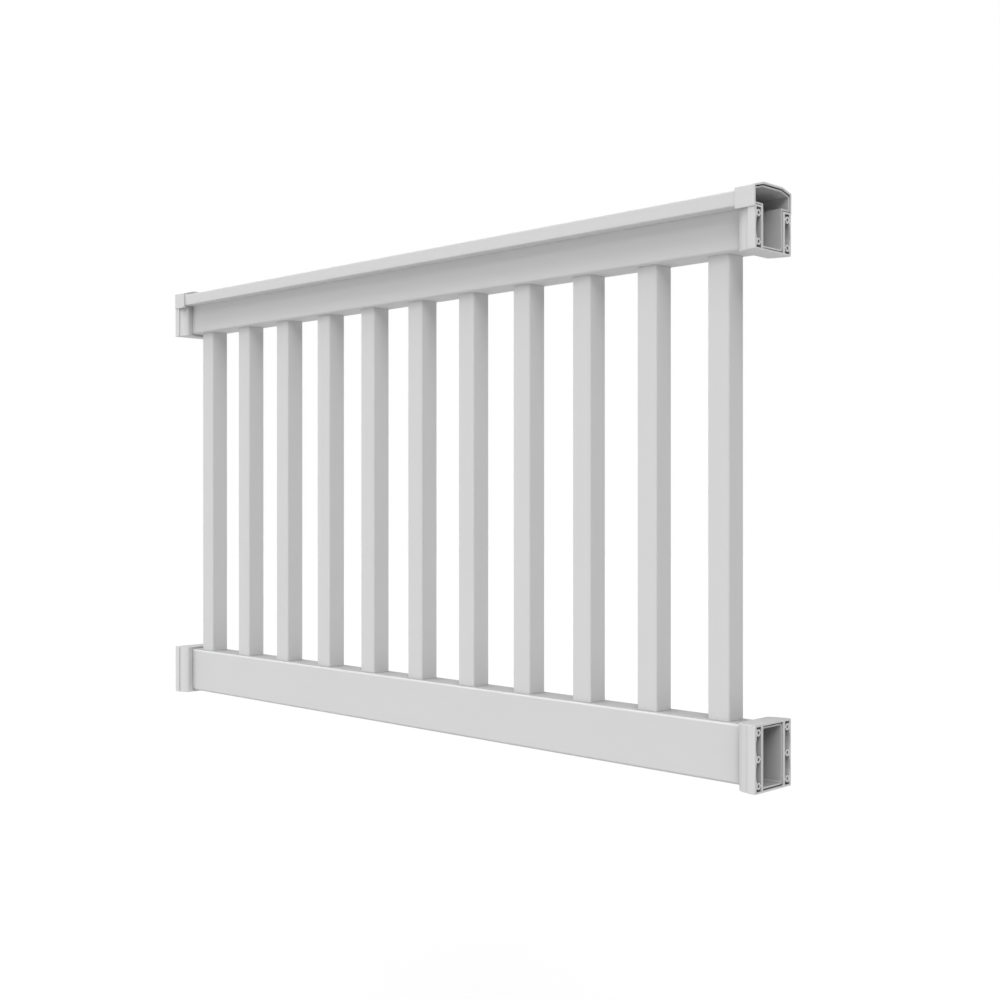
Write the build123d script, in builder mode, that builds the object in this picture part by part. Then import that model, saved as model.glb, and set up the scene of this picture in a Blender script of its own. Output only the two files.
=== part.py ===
from build123d import *
import math
import os

# Vinyl deck railing section: two hollow rails, square balusters between them, and a moulded
# bracket on each rail end. X runs along the railing from the left post to the right post, +Z is
# up and the front faces -Y. The origin is the middle of the lower left bracket's post face.

# Railing as a whole
POST_SPAN = 1498.6  # clear distance between the two posts
CLEAR_HEIGHT = 685.8  # opening between the two rails

# Extruded rails
RAIL_WIDTH = 50.8  # bottom rail, and web of the top rail
RAIL_WALL = 2.4
RAIL_CORNER = 4.0
RAIL_SETBACK = 2.0  # rail end back from the post
BOTTOM_RAIL_HEIGHT = 88.9
TOP_RAIL_HEIGHT = 88.9
HEAD_WIDTH = 88.9
HEAD_HEIGHT = 28.6
HEAD_SIDE = 23.0  # upright part of the head's side, below the bevel
HEAD_FLAT = 48.0  # flat on top, between the bevels
HEAD_CORNER = 2.0

# Balusters
BALUSTER_SIZE = 38.1
BALUSTER_WALL = 1.8
BALUSTER_CORNER = 3.0
BALUSTER_PITCH = 133.35
BALUSTER_INSERT = 25.4  # length hidden inside the top rail
ROUTE_CLEARANCE = 0.3  # round each baluster in its routed hole
END_ROOM = 10.0  # least room between the last baluster and a bracket

# Moulded brackets
BRACKET_LENGTH = 34.5
BRACKET_WALL = 2.8
END_WALL = 3.0  # wall that fits closely round the rail
SEAT_CLEARANCE = 0.3  # between that wall and the rail
SIDE_GAP = 0.4  # room beside the rail, behind the end wall
RISE_GAP = 1.75  # room above and below the rail, behind the end wall
INNER_WALL = 5.1
POCKET_WIDTH = 12.8
FLANGE_LENGTH = 13.5
FLANGE_STEP = 2.5  # step from the flange in to the shoulder
SHOULDER_DROP = 8.0  # how far the shoulder curves in over its length
SHOULDER_CORNER = 5.0
EDGE_BREAK = 0.8  # chamfer on the outer edges

# Screw bosses in the bracket pockets
BOSS_DIAMETER = 10.4
BOSS_INSET = 11.1  # boss centre from the bracket's outer edge
RIB_THICKNESS = 2.0
PILOT_DIAMETER = 4.9
PILOT_DEPTH = 22.0
SWELL_RISE = 2.6  # how far the outer wall swells in towards each boss
SWELL_REACH = 14.0  # from the boss centre to where the swelling runs out

# Levels, with the bottom rail's mid-height at zero
bottom_rail_top = BOTTOM_RAIL_HEIGHT / 2
bottom_rail_base = -BOTTOM_RAIL_HEIGHT / 2
top_rail_base = bottom_rail_top + CLEAR_HEIGHT
top_rail_top = top_rail_base + TOP_RAIL_HEIGHT
head_base = top_rail_top - HEAD_HEIGHT
bevel_base = head_base + HEAD_SIDE
bevel_slope = (top_rail_top - bevel_base) / (HEAD_WIDTH / 2 - HEAD_FLAT / 2)
rail_length = POST_SPAN - 2 * RAIL_SETBACK

# Bracket plan, from the rail outwards
chamber_half = RAIL_WIDTH / 2 + SIDE_GAP
pocket_inner = chamber_half + INNER_WALL
pocket_outer = pocket_inner + POCKET_WIDTH
flange_half = pocket_outer + BRACKET_WALL
shoulder_half = flange_half - FLANGE_STEP
end_half = shoulder_half - SHOULDER_DROP
boss_offset = (pocket_inner + pocket_outer) / 2
sleeve_grow = RISE_GAP + BRACKET_WALL
lower_bracket_height = BOTTOM_RAIL_HEIGHT + 2 * sleeve_grow
upper_bracket_base = top_rail_base - sleeve_grow
ledge_base = head_base - sleeve_grow
ledge_top = head_base - RISE_GAP

# Balusters, spread evenly about mid-span
baluster_room = POST_SPAN - 2 * (BRACKET_LENGTH + END_ROOM) - BALUSTER_SIZE
baluster_count = math.floor(baluster_room / BALUSTER_PITCH) + 1
baluster_start = POST_SPAN / 2 - (baluster_count - 1) * BALUSTER_PITCH / 2
baluster_places = [baluster_start + i * BALUSTER_PITCH for i in range(baluster_count)]
baluster_bore = BALUSTER_SIZE - 2 * BALUSTER_WALL
baluster_foot = bottom_rail_base + RAIL_WALL
baluster_top = top_rail_base + BALUSTER_INSERT
route_size = BALUSTER_SIZE + 2 * ROUTE_CLEARANCE
route_corner = (BALUSTER_CORNER + ROUTE_CLEARANCE) * (2 - math.sqrt(2))  # cut that just clears the radius


def head_points(side, rise):
    # Right half of the head's outline, grown sideways and up and down.
    half = HEAD_WIDTH / 2 + side
    bevel_foot = bevel_base + rise - side * bevel_slope
    return [(half, head_base - rise), (half, bevel_foot), (HEAD_FLAT / 2, top_rail_top + rise)]


def tee_section(side, rise):
    # The top rail's outline across its length, grown sideways and up and down.
    web = RAIL_WIDTH / 2 + side
    right = [(web, top_rail_base - rise), (web, head_base - rise)] + head_points(side, rise)
    left = [(-y, z) for y, z in reversed(right)]
    with BuildSketch() as section:
        with BuildLine():
            Polyline(*right, *left, close=True)
        make_face()
    return section.sketch


def bracket_plan():
    # Outline of a bracket from above: flange, step, curved shoulder and end face.
    with BuildSketch() as plan:
        with BuildLine():
            flange = Polyline(
                (0, 0), (0, flange_half), (FLANGE_LENGTH, flange_half), (FLANGE_LENGTH, shoulder_half)
            )
            shoulder = TangentArc(flange @ 1, (BRACKET_LENGTH, end_half), tangent=(1, 0))
            Line(shoulder @ 1, (BRACKET_LENGTH, 0))
            mirror(about=Plane.XZ)
        make_face()
        tips = plan.vertices().group_by(Axis.X)[-1].filter_by(lambda v: abs(v.Y) > end_half / 2)
        fillet(tips, radius=SHOULDER_CORNER)
    return plan.sketch


def bracket_body(base, top):
    # The solid outside of a bracket, with its edges broken all round but for the post face.
    with BuildPart() as body:
        with BuildSketch(Plane.XY.offset(base)):
            add(bracket_plan())
        extrude(amount=top - base)
        rims = body.faces().filter_by(Axis.Z).edges().filter_by(lambda e: e.center().X > EDGE_BREAK)
        steps = body.edges().filter_by(Axis.Z).filter_by_position(Axis.X, FLANGE_LENGTH, FLANGE_LENGTH)
        chamfer(rims + steps.group_by(Axis.Y)[0] + steps.group_by(Axis.Y)[-1], length=EDGE_BREAK)
    return body.part


def bracket_core(base, top, boss_levels):
    # The hollows beside the rail: open to the post, with ribbed screw bosses left standing in them.
    with BuildPart() as core:
        with BuildSketch(Plane.XY.offset(base)):
            add(bracket_plan())
            offset(amount=-BRACKET_WALL, kind=Kind.INTERSECTION, mode=Mode.REPLACE)
            Rectangle(4 * BRACKET_WALL, 2 * pocket_outer)
            Rectangle(4 * BRACKET_LENGTH, 2 * pocket_inner, mode=Mode.SUBTRACT)
        extrude(amount=top - base)
        with BuildSketch(Plane.YZ):
            with Locations(*boss_places(boss_levels)):
                Circle(BOSS_DIAMETER / 2)
                Rectangle(POCKET_WIDTH, RIB_THICKNESS)
            for boss_y, boss_z in boss_places(boss_levels):
                wall = math.copysign(pocket_outer, boss_y)
                crest = math.copysign(pocket_outer - SWELL_RISE, boss_y)
                with BuildLine():
                    Polyline(
                        (wall, boss_z - SWELL_REACH), (crest, boss_z), (wall, boss_z + SWELL_REACH), close=True
                    )
                make_face()
        extrude(amount=BRACKET_LENGTH, mode=Mode.SUBTRACT)
    return core.part


def boss_places(levels):
    return [(side * boss_offset, level) for side in (-1, 1) for level in levels]


def routed_holes():
    # Openings in a rail's wall that the balusters pass through.
    with BuildSketch() as holes:
        with Locations(*[(x, 0) for x in baluster_places]):
            Rectangle(route_size, route_size)
        chamfer(holes.vertices(), length=route_corner)
    return holes.sketch


# Bottom rail: rounded rectangular tube, routed on top for the balusters
with BuildPart() as bottom_rail:
    with BuildSketch(Plane.YZ.offset(RAIL_SETBACK)):
        RectangleRounded(RAIL_WIDTH, BOTTOM_RAIL_HEIGHT, RAIL_CORNER)
        RectangleRounded(
            RAIL_WIDTH - 2 * RAIL_WALL,
            BOTTOM_RAIL_HEIGHT - 2 * RAIL_WALL,
            RAIL_CORNER - RAIL_WALL / 2,
            mode=Mode.SUBTRACT,
        )
    extrude(amount=rail_length)
    with BuildSketch(Plane.XY.offset(bottom_rail_top)):
        add(routed_holes())
    extrude(amount=-RAIL_WALL, mode=Mode.SUBTRACT)
bottom_rail.part.label = "bottom_rail"

# Top rail: T-shaped tube with a bevelled head, routed underneath for the balusters
with BuildPart() as top_rail:
    with BuildSketch(Plane.YZ.offset(RAIL_SETBACK)) as top_rail_section:
        add(tee_section(0, 0))
        fillet(top_rail_section.vertices().group_by(Axis.Y)[0], radius=RAIL_CORNER)
        fillet(top_rail_section.vertices().group_by(Axis.X)[0], radius=HEAD_CORNER)
        fillet(top_rail_section.vertices().group_by(Axis.X)[-1], radius=HEAD_CORNER)
        fillet(top_rail_section.vertices().group_by(Axis.Y)[-1], radius=HEAD_CORNER)
        offset(amount=-RAIL_WALL, kind=Kind.INTERSECTION, mode=Mode.SUBTRACT)
    extrude(amount=rail_length)
    with BuildSketch(Plane.XY.offset(top_rail_base)):
        add(routed_holes())
    extrude(amount=RAIL_WALL, mode=Mode.SUBTRACT)
top_rail.part.label = "top_rail"

# Lower left bracket: a sleeve round the bottom rail, with three bosses a side
lower_edge = lower_bracket_height / 2
lower_bosses = (BOSS_INSET - lower_edge, 0, lower_edge - BOSS_INSET)
lower_core = bracket_core(BRACKET_WALL - lower_edge, lower_edge - BRACKET_WALL, lower_bosses)
with BuildPart() as bracket_bottom_left:
    add(bracket_body(-lower_edge, lower_edge))
    add(lower_core, mode=Mode.SUBTRACT)
    with BuildSketch(Plane.YZ):
        Rectangle(2 * chamber_half, BOTTOM_RAIL_HEIGHT + 2 * RISE_GAP)
    extrude(amount=BRACKET_LENGTH - END_WALL, mode=Mode.SUBTRACT)
    with BuildSketch(Plane.YZ):
        RectangleRounded(
            RAIL_WIDTH + 2 * SEAT_CLEARANCE,
            BOTTOM_RAIL_HEIGHT + 2 * SEAT_CLEARANCE,
            RAIL_CORNER + SEAT_CLEARANCE,
        )
    extrude(amount=BRACKET_LENGTH, mode=Mode.SUBTRACT)
    with BuildSketch(Plane.YZ):
        with Locations(*boss_places(lower_bosses)):
            Circle(PILOT_DIAMETER / 2)
    extrude(amount=PILOT_DEPTH, mode=Mode.SUBTRACT)
bracket_bottom_left.part.label = "bracket_bottom_left"

# Upper left bracket: two bosses a side, under a sleeve that follows the head of the top rail
upper_bosses = (upper_bracket_base + BOSS_INSET, ledge_top - BOSS_INSET)
upper_core = bracket_core(upper_bracket_base + BRACKET_WALL, ledge_base, upper_bosses)
sleeve_right = head_points(SIDE_GAP + BRACKET_WALL, sleeve_grow)
sleeve_left = [(-y, z) for y, z in reversed(sleeve_right)]
with BuildPart() as bracket_top_left:
    with BuildSketch(Plane.YZ):
        with BuildLine():
            Polyline(*sleeve_right, *sleeve_left, close=True)
        make_face()
    extrude(amount=BRACKET_LENGTH)
    chamfer(bracket_top_left.edges().filter_by(lambda e: e.center().X > EDGE_BREAK), length=EDGE_BREAK)
    add(bracket_body(upper_bracket_base, ledge_top))
    add(upper_core, mode=Mode.SUBTRACT)
    with BuildSketch(Plane.YZ):
        add(tee_section(SIDE_GAP, RISE_GAP))
    extrude(amount=BRACKET_LENGTH - END_WALL, mode=Mode.SUBTRACT)
    with BuildSketch(Plane.YZ):
        add(tee_section(SEAT_CLEARANCE, SEAT_CLEARANCE))
    extrude(amount=BRACKET_LENGTH, mode=Mode.SUBTRACT)
    with BuildSketch(Plane.YZ):
        with Locations(*boss_places(upper_bosses)):
            Circle(PILOT_DIAMETER / 2)
    extrude(amount=PILOT_DEPTH, mode=Mode.SUBTRACT)
bracket_top_left.part.label = "bracket_top_left"

# Right brackets mirror the left ones about mid-span
mid_span = Plane.YZ.offset(POST_SPAN / 2)
with BuildPart() as bracket_bottom_right:
    mirror(bracket_bottom_left.part, about=mid_span)
bracket_bottom_right.part.label = "bracket_bottom_right"

with BuildPart() as bracket_top_right:
    mirror(bracket_top_left.part, about=mid_span)
bracket_top_right.part.label = "bracket_top_right"

pieces = [
    bottom_rail,
    top_rail,
    bracket_bottom_left,
    bracket_bottom_right,
    bracket_top_left,
    bracket_top_right,
]

# Balusters: square tubes that stand on the floor of the bottom rail and reach into the top rail
for number, place in enumerate(baluster_places, start=1):
    with BuildPart() as baluster:
        with BuildSketch(Plane(origin=(place, 0, baluster_foot))):
            RectangleRounded(BALUSTER_SIZE, BALUSTER_SIZE, BALUSTER_CORNER)
            Rectangle(baluster_bore, baluster_bore, mode=Mode.SUBTRACT)
        extrude(amount=baluster_top - baluster_foot)
    baluster.part.label = f"baluster_{number:02d}"
    pieces.append(baluster)

os.makedirs("parts", exist_ok=True)
for piece in pieces:
    export_step(piece.part, f"parts/{piece.part.label}.step")
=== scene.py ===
import math

import bpy
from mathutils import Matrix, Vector

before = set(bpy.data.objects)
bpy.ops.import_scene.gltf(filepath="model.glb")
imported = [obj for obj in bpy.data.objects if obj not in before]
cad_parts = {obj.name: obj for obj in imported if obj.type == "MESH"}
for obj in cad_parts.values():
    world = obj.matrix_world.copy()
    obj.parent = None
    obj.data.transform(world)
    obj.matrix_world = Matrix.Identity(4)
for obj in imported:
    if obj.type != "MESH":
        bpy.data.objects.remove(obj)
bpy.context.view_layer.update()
print("frame loaded with", len(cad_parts), "pieces")


def addNode(tree, kind, inputs=None, **settings):
    node = tree.nodes.new(kind)
    for name, value in settings.items():
        setattr(node, name, value)
    for name, value in (inputs or {}).items():
        node.inputs[name].default_value = value
    return node


# joins another node's output to a socket, or sets the socket to a plain value
def feed(tree, value, socket):
    if isinstance(value, bpy.types.NodeSocket):
        tree.links.new(value, socket)
    else:
        socket.default_value = value


def mathNode(tree, operation, first, second):
    node = addNode(tree, "ShaderNodeMath", operation=operation)
    feed(tree, first, node.inputs[0])
    feed(tree, second, node.inputs[1])
    return node.outputs[0]


def mixColor(tree, mask, under, over):
    mix = addNode(tree, "ShaderNodeMix", {"B": over}, data_type="RGBA")
    feed(tree, mask, mix.inputs["Factor"])
    feed(tree, under, mix.inputs["A"])
    return mix.outputs["Result"]


def newGroup(name, inputs, outputs):
    group = bpy.data.node_groups.new(name, "ShaderNodeTree")
    for label, kind, value in inputs:
        socket = group.interface.new_socket(label, in_out="INPUT", socket_type=kind)
        if value is not None:
            socket.default_value = value
    for label, kind in outputs:
        group.interface.new_socket(label, in_out="OUTPUT", socket_type=kind)
    return group, addNode(group, "NodeGroupInput"), addNode(group, "NodeGroupOutput")


# how much of each noise goes into the tone and the gloss
skinShares = {"toneLines": 0.45, "toneClouds": 0.55, "glossLines": 0.6, "glossGrain": 0.4}


# faint die lines, slow clouds and fine grain that every vinyl surface has
def buildVinylSkin():
    group, given, made = newGroup(
        "vinylSkin",
        [
            ("Place", "NodeSocketVector", None),
            ("Stretch", "NodeSocketVector", (1.0, 1.0, 1.0)),
            ("Cloud Scale", "NodeSocketFloat", 6.0),
            ("Grain Scale", "NodeSocketFloat", 900.0),
            ("Line Depth", "NodeSocketFloat", 0.5),
            ("Grain Depth", "NodeSocketFloat", 0.5),
        ],
        [("Tone", "NodeSocketFloat"), ("Gloss", "NodeSocketFloat"), ("Height", "NodeSocketFloat")],
    )
    stretched = addNode(group, "ShaderNodeVectorMath", operation="MULTIPLY")
    lines = addNode(group, "ShaderNodeTexNoise", {"Scale": 1.0, "Detail": 3.0, "Roughness": 0.6})
    clouds = addNode(group, "ShaderNodeTexNoise", {"Detail": 2.0})
    grain = addNode(group, "ShaderNodeTexNoise", {"Detail": 2.0, "Roughness": 0.65})
    link = group.links.new
    link(given.outputs["Place"], stretched.inputs[0])
    link(given.outputs["Stretch"], stretched.inputs[1])
    link(stretched.outputs[0], lines.inputs["Vector"])
    for noise, scale in ((clouds, "Cloud Scale"), (grain, "Grain Scale")):
        link(given.outputs["Place"], noise.inputs["Vector"])
        link(given.outputs[scale], noise.inputs["Scale"])
    lineTone = mathNode(group, "MULTIPLY", lines.outputs["Fac"], skinShares["toneLines"])
    cloudTone = mathNode(group, "MULTIPLY", clouds.outputs["Fac"], skinShares["toneClouds"])
    link(mathNode(group, "ADD", lineTone, cloudTone), made.inputs["Tone"])
    grainGloss = mathNode(group, "MULTIPLY", grain.outputs["Fac"], skinShares["glossGrain"])
    lineGloss = mathNode(group, "MULTIPLY", lines.outputs["Fac"], skinShares["glossLines"])
    link(mathNode(group, "ADD", grainGloss, lineGloss), made.inputs["Gloss"])
    lineRise = mathNode(group, "MULTIPLY", lines.outputs["Fac"], given.outputs["Line Depth"])
    grainRise = mathNode(group, "MULTIPLY", grain.outputs["Fac"], given.outputs["Grain Depth"])
    link(mathNode(group, "ADD", lineRise, grainRise), made.inputs["Height"])
    return group


# the section lies square to the rail, and the margin keeps the cut ends out
insideRule = {"section": (0.0, 1.0, 1.0), "margin": -0.001}


# marks the faces of a hollow section that look in towards its middle line
def buildInsideMask():
    group, given, made = newGroup(
        "insideMask",
        [
            ("Place", "NodeSocketVector", None),
            ("Facing", "NodeSocketVector", None),
            ("Middle", "NodeSocketVector", (0.0, 0.0, 0.0)),
        ],
        [("Mask", "NodeSocketFloat")],
    )
    outward = addNode(group, "ShaderNodeVectorMath", operation="SUBTRACT")
    across = addNode(group, "ShaderNodeVectorMath", operation="MULTIPLY")
    across.inputs[1].default_value = insideRule["section"]
    agree = addNode(group, "ShaderNodeVectorMath", operation="DOT_PRODUCT")
    link = group.links.new
    link(given.outputs["Place"], outward.inputs[0])
    link(given.outputs["Middle"], outward.inputs[1])
    link(outward.outputs[0], across.inputs[0])
    link(across.outputs[0], agree.inputs[0])
    link(given.outputs["Facing"], agree.inputs[1])
    link(mathNode(group, "LESS_THAN", agree.outputs["Value"], insideRule["margin"]), made.inputs["Mask"])
    return group


recessRays = 16  # more rays give smoother recesses and a slower render


# painted shade: how far a place is shut in by what stands within reach of it
def buildRecessShadeMask():
    group, given, made = newGroup(
        "recessShadeMask",
        [
            ("Reach", "NodeSocketFloat", 0.1),
            ("Sharpness", "NodeSocketFloat", 1.0),
            ("Depth", "NodeSocketFloat", 0.5),
        ],
        [("Mask", "NodeSocketFloat")],
    )
    shut = addNode(group, "ShaderNodeAmbientOcclusion", samples=recessRays)
    link = group.links.new
    link(given.outputs["Reach"], shut.inputs["Distance"])
    hidden = mathNode(group, "SUBTRACT", 1.0, shut.outputs["AO"])
    deep = mathNode(group, "POWER", hidden, given.outputs["Sharpness"])
    link(mathNode(group, "MULTIPLY", deep, given.outputs["Depth"]), made.inputs["Mask"])
    return group


# painted shade starts on faces that look this far up, lies whole on the flattest, and varies a little in
# patches
upwardShadeFall = {"From Min": 0.45, "From Max": 0.97}
upwardShadePatches = {"To Min": 0.93, "To Max": 1.07}


# painted shade that darkens faces that look up
def buildUpwardShadeMask():
    group, given, made = newGroup(
        "upwardShadeMask",
        [
            ("Place", "NodeSocketVector", None),
            ("Facing", "NodeSocketVector", None),
            ("Patch Scale", "NodeSocketFloat", 30.0),
            ("Depth", "NodeSocketFloat", 0.4),
        ],
        [("Mask", "NodeSocketFloat")],
    )
    parts = addNode(group, "ShaderNodeSeparateXYZ")
    settle = addNode(group, "ShaderNodeMapRange", upwardShadeFall, interpolation_type="SMOOTHSTEP")
    patches = addNode(group, "ShaderNodeTexNoise", {"Detail": 3.0})
    spread = addNode(group, "ShaderNodeMapRange", upwardShadePatches)
    link = group.links.new
    link(given.outputs["Facing"], parts.inputs[0])
    link(parts.outputs["Z"], settle.inputs["Value"])
    link(given.outputs["Place"], patches.inputs["Vector"])
    link(given.outputs["Patch Scale"], patches.inputs["Scale"])
    link(patches.outputs["Fac"], spread.inputs["Value"])
    uneven = mathNode(group, "MULTIPLY", settle.outputs["Result"], spread.outputs["Result"])
    link(mathNode(group, "MULTIPLY", uneven, given.outputs["Depth"]), made.inputs["Mask"])
    return group


vinylSkin = buildVinylSkin()
insideMask = buildInsideMask()
recessShadeMask = buildRecessShadeMask()
upwardShadeMask = buildUpwardShadeMask()
print("vinyl groups built")


def vinylMaterial(name, look):
    material = bpy.data.materials.new(name)
    material.use_nodes = True
    tree = material.node_tree
    link = tree.links.new
    shader = tree.nodes["Principled BSDF"]
    place = addNode(tree, "ShaderNodeTexCoord")
    skinValues = {
        "Stretch": look["lineStretch"],
        "Cloud Scale": look["cloudScale"],
        "Grain Scale": look["grainScale"],
        "Line Depth": look["lineDepth"],
        "Grain Depth": look["grainDepth"],
    }
    skin = addNode(tree, "ShaderNodeGroup", skinValues, node_tree=vinylSkin)
    link(place.outputs["Object"], skin.inputs["Place"])
    surface = mixColor(tree, skin.outputs["Tone"], look["shadeColor"], look["lightColor"])
    if "coreMiddle" in look:  # a rail's inside has no white cap layer; the top rail's is also painted shade
        inside = addNode(tree, "ShaderNodeGroup", {"Middle": look["coreMiddle"]}, node_tree=insideMask)
        link(place.outputs["Object"], inside.inputs["Place"])
        link(place.outputs["Normal"], inside.inputs["Facing"])
        surface = mixColor(tree, inside.outputs["Mask"], surface, look["coreAndShadeColor"])
    # painted shade: faces that look up are darkened
    upwardShadeValues = {"Patch Scale": look["upwardShadeScale"], "Depth": look["upwardShadeDepth"]}
    upwardShade = addNode(tree, "ShaderNodeGroup", upwardShadeValues, node_tree=upwardShadeMask)
    link(place.outputs["Object"], upwardShade.inputs["Place"])
    link(place.outputs["Normal"], upwardShade.inputs["Facing"])
    surface = mixColor(tree, upwardShade.outputs["Mask"], surface, look["upwardShadeColor"])
    for kind in ("recess", "gap"):  # painted shade: wide recesses turn grey, narrow gaps nearly black
        shutValues = {label: look[kind + label] for label in ("Reach", "Sharpness", "Depth")}
        shut = addNode(tree, "ShaderNodeGroup", shutValues, node_tree=recessShadeMask)
        surface = mixColor(tree, shut.outputs["Mask"], surface, look[kind + "Color"])
    link(surface, shader.inputs["Base Color"])
    smoothest = look["roughness"] - look["roughnessSpread"]
    roughest = look["roughness"] + look["roughnessSpread"]
    gloss = addNode(tree, "ShaderNodeMapRange", {"To Min": smoothest, "To Max": roughest})
    link(skin.outputs["Gloss"], gloss.inputs["Value"])
    link(gloss.outputs["Result"], shader.inputs["Roughness"])
    bumpValues = {"Strength": look["bumpStrength"], "Distance": look["bumpDistance"]}
    bump = addNode(tree, "ShaderNodeBump", bumpValues)
    link(skin.outputs["Height"], bump.inputs["Height"])
    link(bump.outputs["Normal"], shader.inputs["Normal"])
    shader.inputs["IOR"].default_value = look["ior"]
    shader.inputs["Specular IOR Level"].default_value = look["specular"]
    return material


# extruded white vinyl, with the die lines along the railing
vinylLook = {
    "lightColor": (0.835, 0.835, 0.835, 1),
    "shadeColor": (0.8, 0.8, 0.8, 1),
    # painted shade colours for recesses and for narrow gaps
    "recessColor": (0.24, 0.24, 0.24, 1),
    "recessReach": 0.1,
    "recessSharpness": 0.8,
    "gapColor": (0.05, 0.05, 0.05, 1),
    "gapReach": 0.006,
    "gapSharpness": 3.0,
    "gapDepth": 0.9,
    # colour of the painted shade on faces that look up
    "upwardShadeColor": (0.36, 0.36, 0.36, 1),
    "upwardShadeScale": 30.0,
    "upwardShadeDepth": 0.5,
    "lineStretch": (1.5, 260.0, 260.0),
    "cloudScale": 5.0,
    "grainScale": 1100.0,
    "lineDepth": 0.7,
    "grainDepth": 0.3,
    "roughness": 0.6,
    "roughnessSpread": 0.08,
    "bumpStrength": 0.12,
    "bumpDistance": 0.0004,
    "ior": 1.5,
    "specular": 0.2,
}

# the bottom rail gets more painted shade on its top and between the balusters
bottomRailLook = dict(
    vinylLook,
    recessDepth=0.8,
    upwardShadeDepth=0.88,
    coreAndShadeColor=(0.85, 0.85, 0.85, 1),
    coreMiddle=(0.0, 0.0, 0.0),
)
bottomRailVinyl = vinylMaterial("bottomRailVinyl", bottomRailLook)

# the middle line of the top rail's hollow runs through its head
topRailLook = dict(
    vinylLook,
    recessDepth=0.15,
    # dark inside colour: uncapped core plus painted shade in the top rail's hollow
    coreAndShadeColor=(0.62, 0.62, 0.62, 1),
    coreMiddle=(0.0, 0.0, 0.8),
)
topRailVinyl = vinylMaterial("topRailVinyl", topRailLook)

# balusters come out of a die too, with the lines upright
balusterLook = dict(
    vinylLook,
    recessDepth=0.25,
    lineStretch=(300.0, 300.0, 1.8),
    cloudScale=7.0,
)
balusterVinyl = vinylMaterial("balusterVinyl", balusterLook)

# moulded brackets: no die lines, a fine spark texture instead
bracketLook = dict(
    vinylLook,
    lightColor=(0.86, 0.86, 0.86, 1),
    shadeColor=(0.82, 0.82, 0.82, 1),
    # stronger painted shade in the brackets' recesses
    recessDepth=0.66,
    # stronger painted shade on the brackets' faces that look up
    upwardShadeDepth=0.75,
    lineStretch=(90.0, 90.0, 90.0),
    cloudScale=25.0,
    grainScale=1500.0,
    lineDepth=0.15,
    grainDepth=0.85,
    roughness=0.62,
)
bracketVinyl = vinylMaterial("bracketVinyl", bracketLook)

finishes = {
    "top_rail": topRailVinyl,
    "bottom_rail": bottomRailVinyl,
    "baluster": balusterVinyl,
    "bracket": bracketVinyl,
}
for nodeName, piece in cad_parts.items():
    finish = next(vinyl for start, vinyl in finishes.items() if nodeName.startswith(start))
    for slot in piece.material_slots:
        slot.material = finish
print("vinyl finishes on", len(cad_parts), "pieces")

# floor and white surround
studio = {
    "floorLevel": -1.3,
    "floorSize": 60.0,
    "floorColor": (0.5, 0.5, 0.5, 1),
    "floorLift": 0.46,
    "white": (1, 1, 1, 1),
    "whiteStrength": 1.0,
    "worldStrength": 0.02,
}


# 1 where the eye sees the surround itself, a reflection of it or the view through glass, and 0 for its light
def seenDirectly(tree):
    path = addNode(tree, "ShaderNodeLightPath")
    seen = mathNode(tree, "MAXIMUM", path.outputs["Is Camera Ray"], path.outputs["Is Glossy Ray"])
    return mathNode(tree, "MAXIMUM", seen, path.outputs["Is Transmission Ray"])


def whiteWorld():
    world = bpy.data.worlds.new("studioWorld")
    bpy.context.scene.world = world
    world.use_nodes = True
    tree = world.node_tree
    tree.nodes.clear()
    link = tree.links.new
    lightValues = {"Color": studio["white"], "Strength": studio["worldStrength"]}
    light = addNode(tree, "ShaderNodeBackground", lightValues)
    backdropValues = {"Color": studio["white"], "Strength": studio["whiteStrength"]}
    backdrop = addNode(tree, "ShaderNodeBackground", backdropValues)
    mix = addNode(tree, "ShaderNodeMixShader")
    output = addNode(tree, "ShaderNodeOutputWorld")
    link(seenDirectly(tree), mix.inputs["Fac"])
    link(light.outputs[0], mix.inputs[1])
    link(backdrop.outputs[0], mix.inputs[2])
    link(mix.outputs[0], output.inputs["Surface"])


def floorMaterial():
    material = bpy.data.materials.new("studioFloor")
    material.use_nodes = True
    tree = material.node_tree
    tree.nodes.clear()
    link = tree.links.new
    matte = addNode(tree, "ShaderNodeBsdfDiffuse", {"Color": studio["floorColor"]})
    glow = addNode(tree, "ShaderNodeEmission", {"Color": studio["white"]})
    both = addNode(tree, "ShaderNodeAddShader")
    output = addNode(tree, "ShaderNodeOutputMaterial")
    link(mathNode(tree, "MULTIPLY", seenDirectly(tree), studio["floorLift"]), glow.inputs["Strength"])
    link(matte.outputs[0], both.inputs[0])
    link(glow.outputs[0], both.inputs[1])
    link(both.outputs[0], output.inputs["Surface"])
    return material


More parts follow.
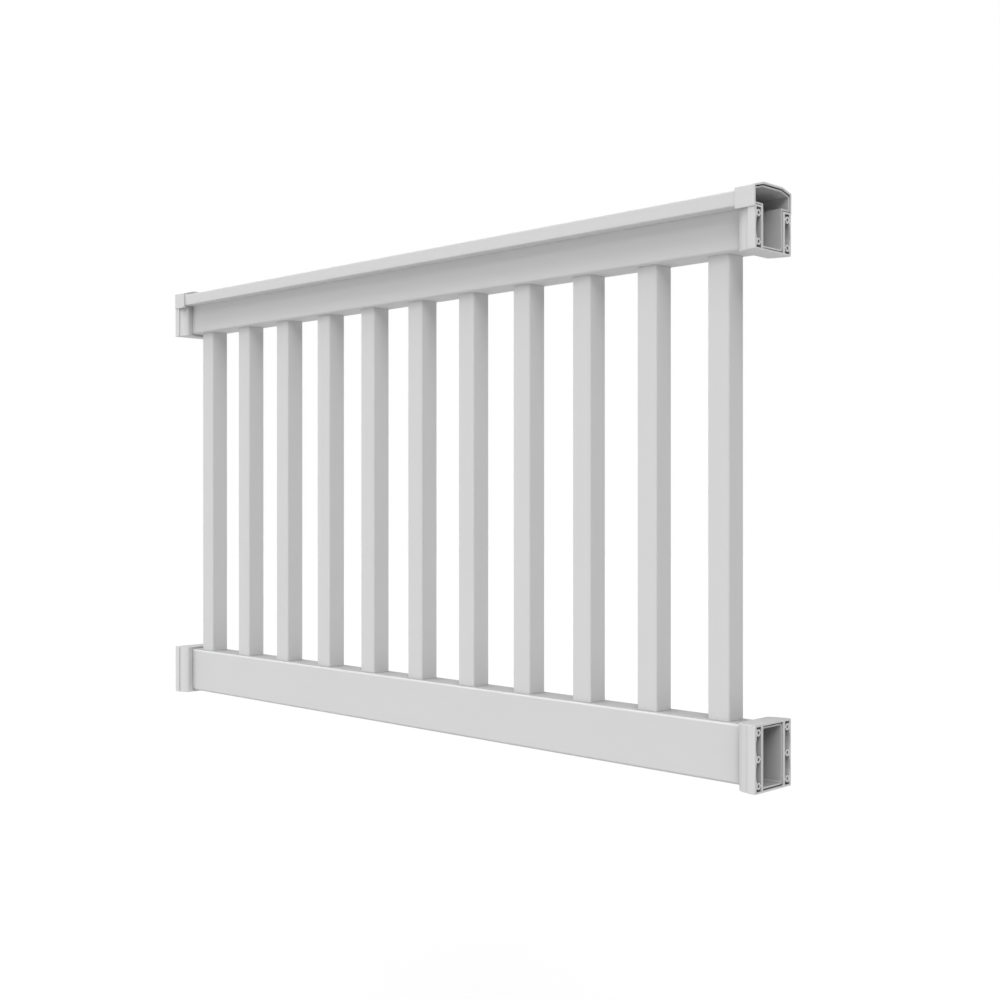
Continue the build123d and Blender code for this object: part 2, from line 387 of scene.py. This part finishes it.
def addFloor():
    half = studio["floorSize"] / 2
    level = studio["floorLevel"]
    corners = [(-half, -half, level), (half, -half, level), (half, half, level), (-half, half, level)]
    mesh = bpy.data.meshes.new("floor")
    mesh.from_pydata(corners, [], [(0, 1, 2, 3)])
    floor = bpy.data.objects.new("floor", mesh)
    bpy.context.collection.objects.link(floor)
    mesh.materials.append(floorMaterial())


whiteWorld()
addFloor()
print("floor and surround made")

# broad soft lamps a long way off: azimuth 0 is in front, 90 beyond the right end, 180 behind
lamps = {
    "lowLeft": {"azimuth": -40.0, "elevation": 7.7, "spread": 24.0, "strength": 0.46},
    "keyLeft": {"azimuth": -40.0, "elevation": 72.0, "spread": 24.0, "strength": 1.41},
    "fillRight": {"azimuth": 40.0, "elevation": 37.5, "spread": 24.0, "strength": 0.87},
    "highRight": {"azimuth": 40.0, "elevation": 64.6, "spread": 24.0, "strength": 1.32},
    "sideRight": {"azimuth": 90.0, "elevation": 50.0, "spread": 30.0, "strength": 0.17},
    "backFill": {"azimuth": 176.0, "elevation": 12.0, "spread": 30.0, "strength": 1.0},
}


def addLamp(name, lamp):
    data = bpy.data.lights.new(name, "SUN")
    data.energy = lamp["strength"]
    data.angle = math.radians(lamp["spread"])
    light = bpy.data.objects.new(name, data)
    bpy.context.collection.objects.link(light)
    turn = math.radians(lamp["azimuth"])
    rise = math.radians(lamp["elevation"])
    level = math.cos(rise)
    towards = Vector((math.sin(turn) * level, -math.cos(turn) * level, math.sin(rise)))
    light.rotation_euler = (-towards).to_track_quat("-Z", "Y").to_euler()


for lampName, lamp in lamps.items():
    addLamp(lampName, lamp)
print("lamps placed:", len(lamps))

# camera at mid-height, looking along the railing from its right end
cameraView = {
    "place": (2.5897, -1.6764, 0.3699),
    "tilt": 90.0,
    "turn": 44.41,
    "lens": 49.0,
    "sensor": 36.0,
    "shiftUp": -0.0006,
}
cameraData = bpy.data.cameras.new("camera")
cameraData.lens = cameraView["lens"]
cameraData.sensor_width = cameraView["sensor"]
cameraData.shift_y = cameraView["shiftUp"]
camera = bpy.data.objects.new("camera", cameraData)
bpy.context.collection.objects.link(camera)
camera.location = cameraView["place"]
camera.rotation_euler = (math.radians(cameraView["tilt"]), 0, math.radians(cameraView["turn"]))
bpy.context.scene.camera = camera
bpy.context.scene.view_settings.view_transform = "Standard"
print("camera set")
